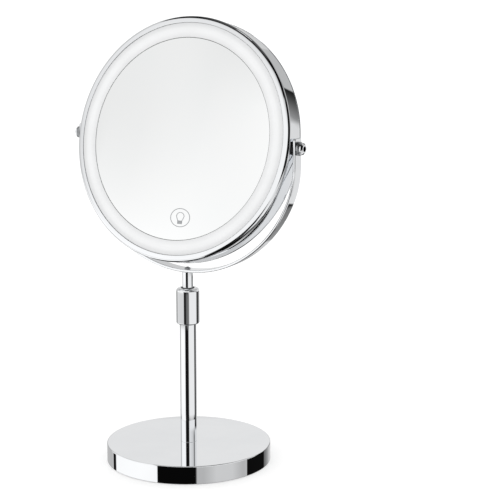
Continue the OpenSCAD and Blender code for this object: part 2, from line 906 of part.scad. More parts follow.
// Rectangle from radius r0 to r1 and from height z0 to z1
module square_between(r0, r1, z0, z1) {
    translate([r0, z0]) square([r1 - r0, z1 - z0]);
}

base_cover();
base_weight();
base_plate();
foot_pad();
base_screws();
stem_bolt();
stem_washer();
outer_tube();
foot_plug();
thread_ferrule();
guide_bush();
collet();
collar();
collar_gasket();
stop_bush();
inner_rod();
rod_top_plug();
rod_end_plug();
rod_end_screw();
yoke();
yoke_screw();
arm_bushes();
drum_wall();
front_bezel();
rear_bezel();
front_mirror();
mirror_tape();
diffuser_ring();
touch_icon();
touch_sensor();
carrier();
led_board();
leds();
control_board();
board_parts();
board_screws();
battery_cell();
battery_tape();
charge_board();
charge_socket();
rear_frame();
frame_screws();
rear_gasket();
rear_mirror();
pivot_inserts();
pivot_spacers();
pivot_washers();
pivot_screws();
battery_lead();
led_lead();
sensor_lead();
charge_lead();
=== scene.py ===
import json
import math
from collections import namedtuple
from math import cos, pi, radians, sin

import bmesh
import bpy
from mathutils import Matrix, Vector


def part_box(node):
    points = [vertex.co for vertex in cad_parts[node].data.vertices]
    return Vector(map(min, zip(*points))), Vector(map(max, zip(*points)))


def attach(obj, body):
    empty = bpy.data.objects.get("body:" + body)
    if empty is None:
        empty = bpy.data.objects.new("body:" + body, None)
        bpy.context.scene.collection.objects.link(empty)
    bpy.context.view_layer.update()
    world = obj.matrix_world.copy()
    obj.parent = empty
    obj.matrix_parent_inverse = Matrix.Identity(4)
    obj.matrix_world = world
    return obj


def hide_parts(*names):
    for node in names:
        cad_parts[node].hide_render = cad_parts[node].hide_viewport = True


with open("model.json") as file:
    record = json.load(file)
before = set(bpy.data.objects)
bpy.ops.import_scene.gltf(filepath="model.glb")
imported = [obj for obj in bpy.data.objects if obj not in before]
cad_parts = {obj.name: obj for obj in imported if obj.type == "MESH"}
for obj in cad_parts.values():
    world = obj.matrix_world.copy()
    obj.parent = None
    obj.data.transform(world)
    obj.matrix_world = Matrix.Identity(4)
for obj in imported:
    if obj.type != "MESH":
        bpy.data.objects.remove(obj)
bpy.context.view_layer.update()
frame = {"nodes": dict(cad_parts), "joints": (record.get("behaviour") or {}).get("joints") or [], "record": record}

MM = 0.001
JOINTS = {j["name"]: j for j in frame["joints"]}

# The head leans back at rest. HEAD_AXIS points out of its lighted face.
TILT = radians(13)
HEAD_CENTRE = tuple(JOINTS["head_tilt"]["pos_m"])
HEAD_AXIS = (0, -cos(TILT), sin(TILT))


# ---------- camera ----------

# Fitted to the photo. Distances are in metres, the lens and its sensor in millimetres.
CAMERA_AZIMUTH = radians(32.2)
CAMERA_DISTANCE = 1.3508
CAMERA_HEIGHT = 0.4546
CAMERA_YAW = radians(29.97)
CAMERA_PITCH = radians(11.4)
CAMERA_LENS = 118.05
CAMERA_SENSOR = 36
CAMERA_REACH = 60

camera_data = bpy.data.cameras.new("camera")
camera_data.lens = CAMERA_LENS
camera_data.sensor_width = CAMERA_SENSOR
camera_data.clip_end = CAMERA_REACH
camera = bpy.data.objects.new("camera", camera_data)
camera.location = (
    CAMERA_DISTANCE * sin(CAMERA_AZIMUTH), -CAMERA_DISTANCE * cos(CAMERA_AZIMUTH), CAMERA_HEIGHT)
camera.rotation_euler = (pi / 2 - CAMERA_PITCH, 0, CAMERA_YAW)
bpy.context.scene.collection.objects.link(camera)
bpy.context.scene.camera = camera


# ---------- materials ----------

# Height of the waviness left by polishing, on metal and on plastic, in metres
METAL_WAVE, PLASTIC_WAVE = 0.0000006, 0.0000012
# Near-black painted shade for the hollows of the key sockets
PAINTED_SOCKET_SHADE = (0.015, 0.015, 0.017, 1)
GROUND_GLASS = (0.42, 0.44, 0.43, 1)
# Glass counts as edge where the cosine between its surface and its face drops under this
EDGE_COSINE = 0.97
# The light ring glows between these distances from the head's centre, in metres; the glow is partly lamp light and
# partly painted light and shade across the ring
GLOW_INSIDE, GLOW_OUTSIDE = 0.083, 0.096
TRACK_SCALE = 260.0


def new_material(name):
    """An empty node material with its Principled shader."""
    mat = bpy.data.materials.new(name)
    mat.use_nodes = True
    return mat, mat.node_tree.nodes["Principled BSDF"]


def node(mat, kind, inputs=(), **settings):
    """A shader node with its settings and inputs; an input is a value or another node's output."""
    made = mat.node_tree.nodes.new(kind)
    for key, value in settings.items():
        setattr(made, key, value)
    for key, value in dict(inputs).items():
        if isinstance(value, bpy.types.NodeSocket):
            mat.node_tree.links.new(value, made.inputs[key])
        else:
            made.inputs[key].default_value = value
    return made


def wire(mat, output, socket):
    """Links one node's output to another node's socket."""
    mat.node_tree.links.new(output, socket)


def object_place(mat):
    """Place on the object, in its own coordinates."""
    return node(mat, "ShaderNodeTexCoord").outputs["Object"]


def noise(mat, size, detail=3.0):
    """Noise with features of that size in metres."""
    return node(mat, "ShaderNodeTexNoise",
                {"Vector": object_place(mat), "Scale": 1 / size, "Detail": detail}).outputs["Fac"]


def spread(mat, value, low, high, start=0.3, end=0.7):
    """Maps a value between start and end onto the range from low to high."""
    inputs = {"Value": value, "From Min": start, "From Max": end, "To Min": low, "To Max": high}
    return node(mat, "ShaderNodeMapRange", inputs).outputs[0]


def tints(mat, value, first, second, start=0.35, end=0.65):
    """Colour that runs from one tint to another as a value goes from start to end."""
    ramp = node(mat, "ShaderNodeValToRGB", {"Fac": value})
    for element, place, tint in zip(ramp.color_ramp.elements, (start, end), (first, second)):
        element.position, element.color = place, (*tint, 1)
    return ramp.outputs["Color"]


def bump(mat, height, strength, distance):
    """Relief with that depth in metres."""
    return node(mat, "ShaderNodeBump",
                {"Height": height, "Strength": strength, "Distance": distance}).outputs["Normal"]


def where(mat, chosen, otherwise, colour):
    """One colour where a value is 1, and another node's colour elsewhere."""
    return node(mat, "ShaderNodeMix", {0: chosen, 6: otherwise, 7: colour}, data_type="RGBA").outputs[2]


def finish(name, first, second, rough, metal=0.0, patch=0.02, grain=0.0006, depth=0.00002):
    """Procedural finish: two tints in patches, roughness that varies and a fine grain."""
    mat, shader = new_material(name)
    shader.inputs["Metallic"].default_value = metal
    wire(mat, tints(mat, noise(mat, patch, detail=4.0), first, second), shader.inputs["Base Color"])
    wire(mat, spread(mat, noise(mat, patch / 3), *rough), shader.inputs["Roughness"])
    wire(mat, bump(mat, noise(mat, grain, detail=2.0), 0.5, depth), shader.inputs["Normal"])
    return mat


def chrome(name, wave, socket_reach=None):
    """Polished chrome: two close tints, faint smudges and slight waves. Shade is painted near black into the
    colour inside key sockets, which reach that far from the tilt axis."""
    mat, shader = new_material(name)
    shader.inputs["Metallic"].default_value = 1
    plating_and_shade = tints(mat, noise(mat, 0.03), (0.90, 0.912, 0.928), (0.925, 0.936, 0.95))
    if socket_reach:
        offset = node(mat, "ShaderNodeVectorMath", {0: object_place(mat), 1: HEAD_CENTRE},
                      operation="SUBTRACT").outputs[0]
        radial = node(mat, "ShaderNodeVectorMath", {0: offset, 1: (0, 1, 1)},
                      operation="MULTIPLY").outputs[0]
        distance = node(mat, "ShaderNodeVectorMath", {0: radial}, operation="LENGTH").outputs["Value"]
        inside = node(mat, "ShaderNodeMath", {0: distance, 1: socket_reach},
                      operation="LESS_THAN").outputs[0]
        # Painted shade: inside the key sockets the colour turns near black
        plating_and_shade = where(mat, inside, plating_and_shade, PAINTED_SOCKET_SHADE)
    wire(mat, plating_and_shade, shader.inputs["Base Color"])
    wire(mat, spread(mat, noise(mat, 0.012), 0.01, 0.03), shader.inputs["Roughness"])
    wire(mat, bump(mat, noise(mat, 0.009, detail=1.0), 0.5, wave), shader.inputs["Normal"])
    return mat


def mirror_glass():
    """Silvered glass, almost perfectly clean, with a grey ground edge."""
    mat, shader = new_material("silvered_glass")
    shader.inputs["Metallic"].default_value = 1
    silver = tints(mat, noise(mat, 0.05), (0.955, 0.965, 0.965), (0.965, 0.97, 0.968))
    normal = node(mat, "ShaderNodeTexCoord").outputs["Normal"]
    along = node(mat, "ShaderNodeVectorMath", {0: normal, 1: HEAD_AXIS},
                 operation="DOT_PRODUCT").outputs["Value"]
    either_way = node(mat, "ShaderNodeMath", {0: along}, operation="ABSOLUTE").outputs[0]
    edge = node(mat, "ShaderNodeMath", {0: either_way, 1: EDGE_COSINE}, operation="LESS_THAN").outputs[0]
    wire(mat, where(mat, edge, silver, GROUND_GLASS), shader.inputs["Base Color"])
    wire(mat, spread(mat, noise(mat, 0.02), 0.0, 0.012), shader.inputs["Roughness"])
    return mat


def milky_acrylic():
    """Milky acrylic over lamps: the glow is strongest along the middle of the light ring. It is partly the lamps'
    light and partly painted light, which brightens the ring and paints shade at its edges.
    """
    mat, shader = new_material("milky_acrylic")
    milk = tints(mat, noise(mat, 0.03), (0.69, 0.695, 0.70), (0.72, 0.725, 0.73))
    wire(mat, milk, shader.inputs["Base Color"])
    wire(mat, spread(mat, noise(mat, 0.004), 0.3, 0.38), shader.inputs["Roughness"])
    wire(mat, bump(mat, noise(mat, 0.0005), 0.3, 0.000004), shader.inputs["Normal"])
    reach = node(mat, "ShaderNodeVectorMath", {0: object_place(mat), 1: HEAD_CENTRE},
                 operation="DISTANCE").outputs["Value"]
    across = node(mat, "ShaderNodeMapRange",
                  {"Value": reach, "From Min": GLOW_INSIDE, "From Max": GLOW_OUTSIDE}).outputs[0]
    ramp = node(mat, "ShaderNodeValToRGB", {"Fac": across})
    # Painted light and shade: the glow peaks mid-band and fades to nothing at both edges
    stops = [(0.0, 0.0), (0.12, 0.02), (0.3, 0.08), (0.5, 0.135), (0.7, 0.125), (0.88, 0.04), (1.0, 0.0)]
    elements = ramp.color_ramp.elements
    while len(elements) < len(stops):
        elements.new(0.5)
    for element, (position, glow) in zip(elements, stops):
        element.position, element.color = position, (glow, glow, glow, 1)
    wire(mat, ramp.outputs["Color"], shader.inputs["Emission Color"])
    shader.inputs["Emission Strength"].default_value = 1
    return mat


def circuit_board(name, mask, copper):
    """Solder mask with raised tracks under it."""
    mat, shader = new_material(name)
    tracks = node(mat, "ShaderNodeTexVoronoi", {"Vector": object_place(mat), "Scale": TRACK_SCALE},
                  distance="MANHATTAN", feature="F2").outputs["Distance"]
    edge = spread(mat, tracks, 0.0, 1.0, 0.75, 0.8)
    wire(mat, tints(mat, edge, copper, mask, 0.4, 0.6), shader.inputs["Base Color"])
    wire(mat, spread(mat, noise(mat, 0.003), 0.25, 0.4), shader.inputs["Roughness"])
    wire(mat, bump(mat, edge, 0.4, 0.00003), shader.inputs["Normal"])
    return mat


FINISHES = {
    "chrome": chrome("chrome", METAL_WAVE),
    "chromed_plastic": chrome("chromed_plastic", PLASTIC_WAVE),
    "steel": finish("zinc_plate", (0.36, 0.37, 0.38), (0.46, 0.47, 0.48), (0.25, 0.4), metal=1.0,
                    patch=0.004),
    "iron": finish("cast_iron", (0.10, 0.10, 0.11), (0.18, 0.18, 0.19), (0.55, 0.8), metal=0.7, patch=0.015,
                   grain=0.0015, depth=0.0002),
    "brass": finish("turned_brass", (0.66, 0.48, 0.20), (0.78, 0.60, 0.30), (0.2, 0.35), metal=1.0,
                    patch=0.003),
    "soft_pad": finish("foam_rubber", (0.035, 0.035, 0.038), (0.06, 0.06, 0.065), (0.8, 0.95), patch=0.02,
                       grain=0.0012, depth=0.00025),
    "dark_rubber": finish("rubber", (0.035, 0.035, 0.038), (0.055, 0.055, 0.06), (0.6, 0.75), patch=0.006,
                          depth=0.00004),
    "nylon": finish("nylon", (0.80, 0.79, 0.75), (0.87, 0.86, 0.82), (0.4, 0.5), patch=0.006),
    "dark_nylon": finish("dark_nylon", (0.02, 0.02, 0.022), (0.04, 0.04, 0.043), (0.4, 0.5), patch=0.004),
    "mirror": mirror_glass(),
    "diffuser": milky_acrylic(),
    "key_print": finish("printed_line", (0.30, 0.31, 0.32), (0.36, 0.37, 0.38), (0.5, 0.6), patch=0.002),
    "circuit_board": circuit_board("solder_mask", (0.02, 0.16, 0.07), (0.04, 0.24, 0.11)),
    "light_board": circuit_board("white_solder_mask", (0.86, 0.87, 0.87), (0.78, 0.79, 0.79)),
    "led": finish("phosphor", (0.85, 0.76, 0.28), (0.92, 0.86, 0.45), (0.3, 0.4), patch=0.001),
    "white_plastic": finish("white_plastic", (0.80, 0.80, 0.79), (0.86, 0.86, 0.85), (0.4, 0.55)),
    "dark_plastic": finish("dark_plastic", (0.035, 0.035, 0.04), (0.06, 0.06, 0.065), (0.4, 0.6), patch=0.01),
    "battery_foil": finish("pouch_foil", (0.62, 0.63, 0.65), (0.75, 0.76, 0.78), (0.25, 0.4), metal=1.0,
                           patch=0.008, grain=0.004, depth=0.0002),
    "red_lead": finish("red_insulation", (0.50, 0.03, 0.025), (0.60, 0.05, 0.04), (0.4, 0.5), patch=0.004),
    "yellow_lead": finish("yellow_insulation", (0.70, 0.52, 0.04), (0.80, 0.62, 0.07), (0.4, 0.5),
                          patch=0.004),
    "grey_lead": finish("grey_insulation", (0.30, 0.31, 0.32), (0.38, 0.39, 0.40), (0.4, 0.5), patch=0.004),
    "black_lead": finish("black_insulation", (0.02, 0.02, 0.022), (0.035, 0.035, 0.038), (0.4, 0.5),
                         patch=0.004),
}


# ---------- mesh helpers ----------

# Steps round the turned pieces: base and head, foot pad, stem, collar seal, pivots, yoke screw
TURNS, PAD_TURNS, STEM_TURNS, SEAL_TURNS, PIVOT_TURNS, SCREW_TURNS = 360, 288, 144, 96, 72, 48
SHARP_ANGLE = radians(40)


def fillet(corners, steps=6):
    """Closed outline from corners (x, y, radius), each rounded with that radius."""
    out = []
    for i, (x, y, r) in enumerate(corners):
        corner = Vector((x, y))
        if r == 0:
            out.append(corner)
            continue
        to_last = (Vector(corners[i - 1][:2]) - corner).normalized()
        to_next = (Vector(corners[(i + 1) % len(corners)][:2]) - corner).normalized()
        half = to_last.angle(to_next) / 2
        centre = corner + (to_last + to_next).normalized() * (r / sin(half))
        start = corner + to_last * (r / math.tan(half)) - centre
        end = corner + to_next * (r / math.tan(half)) - centre
        a0 = math.atan2(start.y, start.x)
        turn = (math.atan2(end.y, end.x) - a0 + pi) % (2 * pi) - pi
        for k in range(steps + 1):
            a = a0 + turn * k / steps
            out.append(centre + Vector((cos(a), sin(a))) * r)
    return out


def polygon(radius, count):
    """Corners of a regular polygon about the origin."""
    return [(radius * cos(a), radius * sin(a)) for a in (2 * pi * k / count for k in range(count))]


def lathe(bm, outline, place=Matrix(), turns=TURNS):
    """Turns a closed outline (radius, height) round the z axis of place."""
    rings = []
    for x, y in outline:
        if x < 1e-7:
            rings.append([bm.verts.new(place @ Vector((0, 0, y)))] * turns)
        else:
            rings.append([bm.verts.new(place @ Vector((*corner, y))) for corner in polygon(x, turns)])
    for here, there in zip(rings, rings[1:] + rings[:1]):
        for k in range(turns):
            corners = [here[k], here[(k + 1) % turns], there[(k + 1) % turns], there[k]]
            corners = list(dict.fromkeys(corners))
            if len(corners) > 2:
                bm.faces.new(corners)


def prism(bm, outline, low, high, place=Matrix()):
    """Extrudes a closed outline (x, y) from z = low to z = high."""
    bottom = [bm.verts.new(place @ Vector((x, y, low))) for x, y in outline]
    top = [bm.verts.new(place @ Vector((x, y, high))) for x, y in outline]
    bm.faces.new(bottom[::-1])
    bm.faces.new(top)
    for k in range(len(outline)):
        j = (k + 1) % len(outline)
        bm.faces.new([bottom[k], bottom[j], top[j], top[k]])


def mesh_from(bm, name):
    """A mesh with outward normals; the bmesh is used up."""
    bmesh.ops.recalc_face_normals(bm, faces=bm.faces)
    mesh = bpy.data.meshes.new(name)
    bm.to_mesh(mesh)
    bm.free()
    return mesh


def add_object(name, mesh):
    """An object in the scene with that mesh."""
    obj = bpy.data.objects.new(name, mesh)
    bpy.context.scene.collection.objects.link(obj)
    return obj


def smooth(mesh):
    """Smooth shading, apart from the sharp edges."""
    mesh.shade_smooth()
    mesh.set_sharp_from_angle(angle=SHARP_ANGLE)


def cut(obj, cutter_bm):
    """Takes a cutter's solid out of an object's mesh."""
    cutter = add_object("cutter", mesh_from(cutter_bm, "cutter"))
    tool = obj.modifiers.new("cut", "BOOLEAN")
    tool.object, tool.operation, tool.solver = cutter, "DIFFERENCE", "EXACT"
    bpy.context.view_layer.update()
    evaluated = obj.evaluated_get(bpy.context.evaluated_depsgraph_get())
    mesh = bpy.data.meshes.new_from_object(evaluated)
    obj.modifiers.clear()
    obj.data = mesh
    bpy.data.objects.remove(cutter)


def piece(name, bm, body, slot, *nodes, cutter=None, material=None):
    """A finished piece that rides on a body, takes its finish from a slot and stands for CAD nodes."""
    mesh = mesh_from(bm, name)
    mesh.materials.append(material or FINISHES[slot])
    obj = add_object(name, mesh)
    if cutter:
        cut(obj, cutter)
    smooth(obj.data)
    level = obj.modifiers.new("normals", "WEIGHTED_NORMAL")
    level.keep_sharp, level.weight = True, 80
    if nodes:
        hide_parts(*nodes)
    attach(obj, body)
    return obj


def lathed(name, outline, body, slot, *nodes, place=Matrix(), turns=TURNS):
    """A piece turned from one outline."""
    bm = bmesh.new()
    lathe(bm, outline, place, turns)
    return piece(name, bm, body, slot, *nodes)


def heights(node_name):
    """Lowest and highest z of a CAD node that stands on the stem's axis, and its radius."""
    low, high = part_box(node_name)
    return low.z, high.z, (high.x - low.x) / 2


# ---------- base ----------

COVER_WALL, COVER_LIP, COVER_EDGE, COVER_INSIDE = 1.3 * MM, 0.2 * MM, 0.8 * MM, 0.5 * MM
BOLT_HOLE = 3.2 * MM
low, high, base_r = heights("base_cover")
lathed("base_shell", fillet([
    (base_r, low, COVER_LIP), (base_r, high, COVER_EDGE),
    (BOLT_HOLE, high, 0), (BOLT_HOLE, high - COVER_WALL, 0),
    (base_r - COVER_WALL, high - COVER_WALL, COVER_INSIDE), (base_r - COVER_WALL, low, COVER_LIP)]),
    "base", "chrome", "base_cover")

PAD_EDGE = 0.6 * MM
low, high, pad_r = heights("foot_pad")
lathed("anti_slip_pad", fillet([(0, low, 0), (pad_r, low, PAD_EDGE), (pad_r, high, 0), (0, high, 0)]),
       "base", "soft_pad", "foot_pad", turns=PAD_TURNS)


# ---------- stem ----------

TUBE_WALL, TUBE_FOOT, TUBE_MOUTH = 1.0 * MM, 0.15 * MM, 0.25 * MM
low, tube_high, tube_r = heights("outer_tube")
lathed("stem_tube", fillet([
    (tube_r, low, TUBE_FOOT), (tube_r, tube_high, TUBE_MOUTH),
    (tube_r - TUBE_WALL, tube_high, 0), (tube_r - TUBE_WALL, low, 0)]),
    "base", "chrome", "outer_tube", turns=STEM_TURNS)

# The collar's bore, from the mouth down: seat of the seal, shelf under it, cone, thread, lip round the tube
SLIP, SEAT_SLIP = 0.08 * MM, 0.02 * MM
COLLAR_FOOT, COLLAR_SHOULDER, COLLAR_MOUTH, LIP_EDGE = 1.5 * MM, 2.5 * MM, 0.15 * MM, 0.4 * MM
LIP_HEIGHT, THREAD_RISE = 3.0 * MM, 3.0 * MM
SHELF_GAP, SHELF_THICK, CONE_GAP = 0.5 * MM, 0.4 * MM, 2.0 * MM
low, high, collar_r = heights("collar")
seal_low, seal_high, seal_r = heights("collar_gasket")
rod_low, rod_high, rod_r = heights("inner_rod")
thread_r = heights("thread_ferrule")[2] + SLIP
seat_r = seal_r + SEAT_SLIP
lathed("twist_collar", fillet([
    (collar_r, low, COLLAR_FOOT), (collar_r, high, COLLAR_SHOULDER), (seat_r, high, COLLAR_MOUTH),
    (seat_r, seal_low, 0), (rod_r + SHELF_GAP, seal_low, 0), (rod_r + SHELF_GAP, seal_low - SHELF_THICK, 0),
    (rod_r + CONE_GAP, seal_low - SHELF_THICK, 0), (thread_r, tube_high + THREAD_RISE, 0),
    (thread_r, low + LIP_HEIGHT, 0), (tube_r + SLIP, low + LIP_HEIGHT, 0), (tube_r + SLIP, low, LIP_EDGE)]),
    "collar", "chrome", "collar", turns=STEM_TURNS)

SEAL_GAP, SEAL_OUTER_EDGE, SEAL_INNER_EDGE = 0.1 * MM, 0.6 * MM, 0.3 * MM
lathed("collar_seal", fillet([
    (rod_r + SEAL_GAP, seal_low, 0), (seal_r, seal_low, 0), (seal_r, seal_high, SEAL_OUTER_EDGE),
    (rod_r + SEAL_GAP, seal_high, SEAL_INNER_EDGE)]),
    "collar", "dark_rubber", "collar_gasket", turns=SEAL_TURNS)

ROD_WALL, ROD_FOOT, ROD_TOP = 1.2 * MM, 0.2 * MM, 0.15 * MM
lathed("sliding_rod", fillet([
    (rod_r, rod_low, ROD_FOOT), (rod_r, rod_high, ROD_TOP), (rod_r - ROD_WALL, rod_high, 0),
    (rod_r - ROD_WALL, rod_low, 0)]),
    "rod", "chrome", "inner_rod", turns=STEM_TURNS)


# ---------- yoke ----------

STRIP, STRIP_EDGE, STRIP_EDGE_STEPS = 2.4 * MM, 0.75 * MM, 5
BEND_X, BEND_DZ, BEND_REACH = 24 * MM, 10 * MM, 26 * MM
ARM_CORNER, ARM_START = 1.5 * MM, 7 * MM
ARC_STEPS, BEND_STEPS, CORNER_STEPS = 60, 24, 6
BUSH_SLIP, SCREW_HOLE, CUT_MARGIN = 0.05 * MM, 2.15 * MM, 1 * MM
yoke_low, yoke_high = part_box("yoke")
arm_x, strip_w = yoke_high.x, yoke_high.y - yoke_low.y
strip_r = arm_x - BEND_X + BEND_REACH
arc_z = yoke_low.z + strip_r
arm_z = arc_z - BEND_DZ
pivot_z = JOINTS["head_tilt"]["pos_m"][2]


def on_tilt_axis(side):
    """Frame at the stem's axis whose z axis points out along the tilt axis, to the right (1) or left (-1)."""
    return Matrix.Translation((0, 0, pivot_z)) @ Matrix.Rotation(side * pi / 2, 4, "Y")


def strip_stations():
    """Along the yoke from the foot of the arc up the right arm: outer point, outward normal, half width."""
    joint_angle = math.atan2(BEND_DZ, BEND_X)
    out = []
    for k in range(ARC_STEPS + 1):
        a = -pi / 2 + (pi / 2 - joint_angle) * k / ARC_STEPS
        outward = Vector((cos(a), sin(a)))
        out.append((Vector((strip_r * cos(a), arc_z + strip_r * sin(a))), outward, strip_w / 2))
    for k in range(1, BEND_STEPS + 1):
        a = -joint_angle * (1 - k / BEND_STEPS)
        outward = Vector((cos(a), sin(a)))
        bend_r = strip_r - BEND_REACH
        out.append((Vector((BEND_X + bend_r * cos(a), arm_z + bend_r * sin(a))), outward, strip_w / 2))
    straight = yoke_high.z - ARM_CORNER
    for z in (pivot_z - ARM_START, pivot_z, straight):
        out.append((Vector((arm_x, z)), Vector((1, 0)), strip_w / 2))
    for k in range(1, CORNER_STEPS + 1):
        a = pi / 2 * k / CORNER_STEPS
        out.append((Vector((arm_x, straight + ARM_CORNER * sin(a))), Vector((1, 0)),
                    strip_w / 2 - ARM_CORNER * (1 - cos(a))))
    return out


bm = bmesh.new()
right = strip_stations()
left = [(Vector((-p.x, p.y)), Vector((-n.x, n.y)), w) for p, n, w in right[:0:-1]]
loops = []
for p, n, w in left + right:
    section = fillet([
        (0, -w, STRIP_EDGE), (0, w, STRIP_EDGE), (-STRIP, w, STRIP_EDGE), (-STRIP, -w, STRIP_EDGE)],
        STRIP_EDGE_STEPS)
    loops.append([bm.verts.new((p.x + n.x * depth, y, p.y + n.y * depth)) for depth, y in section])
for here, there in zip(loops, loops[1:]):
    for k in range(len(here)):
        near = (k + 1) % len(here)
        bm.faces.new([here[k], here[near], there[near], there[k]])
bm.faces.new(loops[0])
bm.faces.new(loops[-1][::-1])
holes = bmesh.new()
bush_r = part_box("arm_bushes")[1].y + BUSH_SLIP
for side in (1, -1):
    prism(holes, polygon(bush_r, 64), arm_x - STRIP - CUT_MARGIN, arm_x + CUT_MARGIN, on_tilt_axis(side))
prism(holes, polygon(SCREW_HOLE, 48), yoke_low.z - CUT_MARGIN, yoke_low.z + STRIP + CUT_MARGIN)
piece("yoke_strip", bm, "rod", "chrome", "yoke", cutter=holes)

SHANK_R, SHANK_TIP_R, SHANK_TIP = 2 * MM, 1.4 * MM, 0.6 * MM
HEAD_LIFT, HEX_R, HEX_DEPTH = 0.04 * MM, 1.15 * MM, 1 * MM
DOME_STEPS = 12
screw_low, screw_high, screw_r = heights("yoke_screw")
head_low = yoke_low.z + STRIP + HEAD_LIFT
dome = [Vector((screw_r * cos(a), head_low + (screw_high - head_low) * sin(a)))
        for a in (pi / 2 * k / DOME_STEPS for k in range(DOME_STEPS))]
shank = [Vector((0, screw_high)), Vector((0, screw_low)), Vector((SHANK_TIP_R, screw_low)),
         Vector((SHANK_R, screw_low + SHANK_TIP)), Vector((SHANK_R, head_low))]
bm = bmesh.new()
lathe(bm, dome + shank, turns=SCREW_TURNS)
socket = bmesh.new()
prism(socket, polygon(HEX_R, 6), screw_high - HEX_DEPTH, screw_high + CUT_MARGIN)
piece("yoke_dome_screw", bm, "rod", "steel", "yoke_screw", cutter=socket)


# ---------- head ----------

HEAD = Matrix.Translation((0, 0, pivot_z)) @ Matrix.Rotation(pi / 2 - TILT, 4, "X")
HALF, WALL_HALF = 11.0 * MM, 8.0 * MM
WALL, WALL_EDGE, WALL_EDGE_STEPS = 1.6 * MM, 0.15 * MM, 3
PORT_ANGLE, PORT_WIDTH, PORT_HEIGHT, PORT_CUT = radians(225), 9.4 * MM, 3.7 * MM, 4 * MM
PORT_END_STEPS = 16
head_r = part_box("front_bezel")[1].x
wall_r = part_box("drum_wall")[1].x
glass_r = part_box("front_mirror")[1].x

bm = bmesh.new()
lathe(bm, fillet([
    (wall_r, -WALL_HALF, WALL_EDGE), (wall_r, WALL_HALF, WALL_EDGE), (wall_r - WALL, WALL_HALF, 0),
    (wall_r - WALL, -WALL_HALF, 0)], WALL_EDGE_STEPS), HEAD)
# At the port, x runs round the wall and z points out of it
port = HEAD @ Matrix.Rotation(PORT_ANGLE + pi / 2, 4, "Z") @ Matrix.Rotation(pi / 2, 4, "X")
port_flat, port_end = (PORT_WIDTH - PORT_HEIGHT) / 2, PORT_HEIGHT / 2
port_outline = [(side * (port_flat + port_end * sin(a)), side * port_end * cos(a))
                for side in (1, -1) for a in (pi * k / PORT_END_STEPS for k in range(PORT_END_STEPS + 1))]
port_hole = bmesh.new()
prism(port_hole, port_outline, wall_r - PORT_CUT, wall_r + PORT_CUT, port)
piece("drum_band", bm, "head", "chromed_plastic", "drum_wall", cutter=port_hole)

SEAM, SEAM_EDGE = 0.1 * MM, 0.15 * MM
RIM_INSIDE, RIM_FACE, RIM_INNER_EDGE = 12.4 * MM, 2.6 * MM, 0.35 * MM
SKIRT_GAP, SKIRT_WALL, SKIRT_END = 0.1 * MM, 1.4 * MM, 5.6 * MM
CROWN_WIDTH, CROWN_HEIGHT, CROWN_STEPS = 3.0 * MM, 2.5 * MM, 16
skirt_r = wall_r - WALL - SKIRT_GAP
rim_in = glass_r + RIM_INSIDE


def rim(side):
    """Outline of a chromed rim, on the front (1) or the rear (-1), with its rounded outer edge."""
    seam = WALL_HALF + SEAM
    crown = [(head_r - CROWN_WIDTH + CROWN_WIDTH * sin(a), HALF - CROWN_HEIGHT + CROWN_HEIGHT * cos(a))
             for a in (pi / 2 * (1 - k / CROWN_STEPS) for k in range(CROWN_STEPS + 1))]
    inside = fillet([
        (*crown[-1], 0), (rim_in, HALF, RIM_INNER_EDGE), (rim_in, HALF - RIM_FACE, 0),
        (skirt_r - SKIRT_WALL, HALF - RIM_FACE, 0), (skirt_r - SKIRT_WALL, SKIRT_END, 0),
        (skirt_r, SKIRT_END, 0), (skirt_r, seam, 0)], 8)
    outline = [(head_r - SEAM_EDGE, seam), (head_r, seam + SEAM_EDGE)] + crown[:-1] + inside
    return [Vector((p[0], side * p[1])) for p in outline]


lathed("front_rim", rim(1), "head", "chromed_plastic", "front_bezel", place=HEAD)
lathed("rear_rim", rim(-1), "head", "chromed_plastic", "rear_bezel", place=HEAD)

GLASS_TOP, GLASS_BACK = 10.2 * MM, 7.2 * MM
GLASS_BEVEL, BEVEL_EDGE = 0.35 * MM, 0.1 * MM
lathed("mirror_front", fillet([
    (0, GLASS_BACK, 0), (glass_r, GLASS_BACK, 0), (glass_r, GLASS_TOP - GLASS_BEVEL, BEVEL_EDGE),
    (glass_r - GLASS_BEVEL, GLASS_TOP, BEVEL_EDGE), (0, GLASS_TOP, 0)], 3),
    "head", "mirror", "front_mirror", place=HEAD)

# The light ring's face is a shallow arc from the glass to the rim, RING_RISE high over its edges
RING_GAP, RING_REACH = 0.12 * MM, 12.15 * MM
RING_RISE, RING_EDGE, RING_STEPS = 0.35 * MM, 10.55 * MM, 32
ring_in, ring_out = glass_r + RING_GAP, glass_r + RING_REACH
ring_back, ring_shoulder = GLASS_BACK + 0.1 * MM, HALF - 2.7 * MM
ring_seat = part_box("diffuser_ring")[1].x
ring_half = (ring_out - ring_in) / 2
arc_r = (ring_half ** 2 + RING_RISE ** 2) / (2 * RING_RISE)
arc_angle = math.asin(ring_half / arc_r)
ring_middle = (ring_in + ring_out) / 2
ring_face = [Vector((ring_middle + arc_r * sin(a), RING_EDGE + RING_RISE - arc_r + arc_r * cos(a)))
             for a in (arc_angle * (1 - 2 * k / RING_STEPS) for k in range(RING_STEPS + 1))]
ring_under = [Vector((ring_in, ring_back)), Vector((ring_seat, ring_back)),
              Vector((ring_seat, ring_shoulder)), Vector((ring_out, ring_shoulder))]
lathed("light_ring", ring_face + ring_under, "head", "diffuser", "diffuser_ring", place=HEAD)

REAR_CURVE, REAR_GLASS = 900 * MM, 2.2 * MM
REAR_SEAT, REAR_MARGIN, REAR_STEPS = -8.3 * MM, 0.1 * MM, 40
rear_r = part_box("rear_mirror")[1].x
rear_centre = REAR_SEAT - math.sqrt(REAR_CURVE ** 2 - (rear_r + REAR_MARGIN) ** 2)


def rear_face(r, lift):
    """Point of a face of the concave rear mirror at that radius."""
    return Vector((r, rear_centre + lift + math.sqrt(REAR_CURVE ** 2 - r * r)))


